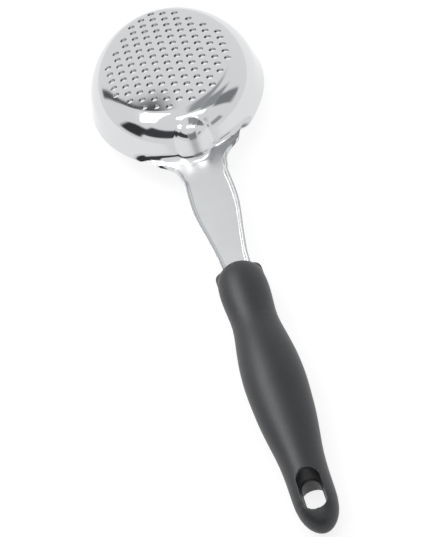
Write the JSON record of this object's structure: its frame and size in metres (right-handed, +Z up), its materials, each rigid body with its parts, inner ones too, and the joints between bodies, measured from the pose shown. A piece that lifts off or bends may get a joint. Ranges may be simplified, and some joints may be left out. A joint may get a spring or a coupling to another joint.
{
  "type": "perforated portion spoon",
  "caption": "Perforated oval portion spoon in polished steel with a channel shank and a moulded grip with a hanging slot, lying upside down.",
  "frame": {"origin": "on the table, under the middle of the spoon's whole length, in its plane of symmetry", "axes": "+Y along the spoon from the grip to the bowl, +Z up from the table, +X across; the bowl lies mouth down"},
  "size_m": [0.0808, 0.3289, 0.0304],
  "materials": {
    "polished_steel": "polished",
    "moulded_nylon": "fine matte texture"
  },
  "bodies": {
    "root": {"bowl_and_shank": "polished_steel", "grip": "moulded_nylon"}
  },
  "joints": []
}
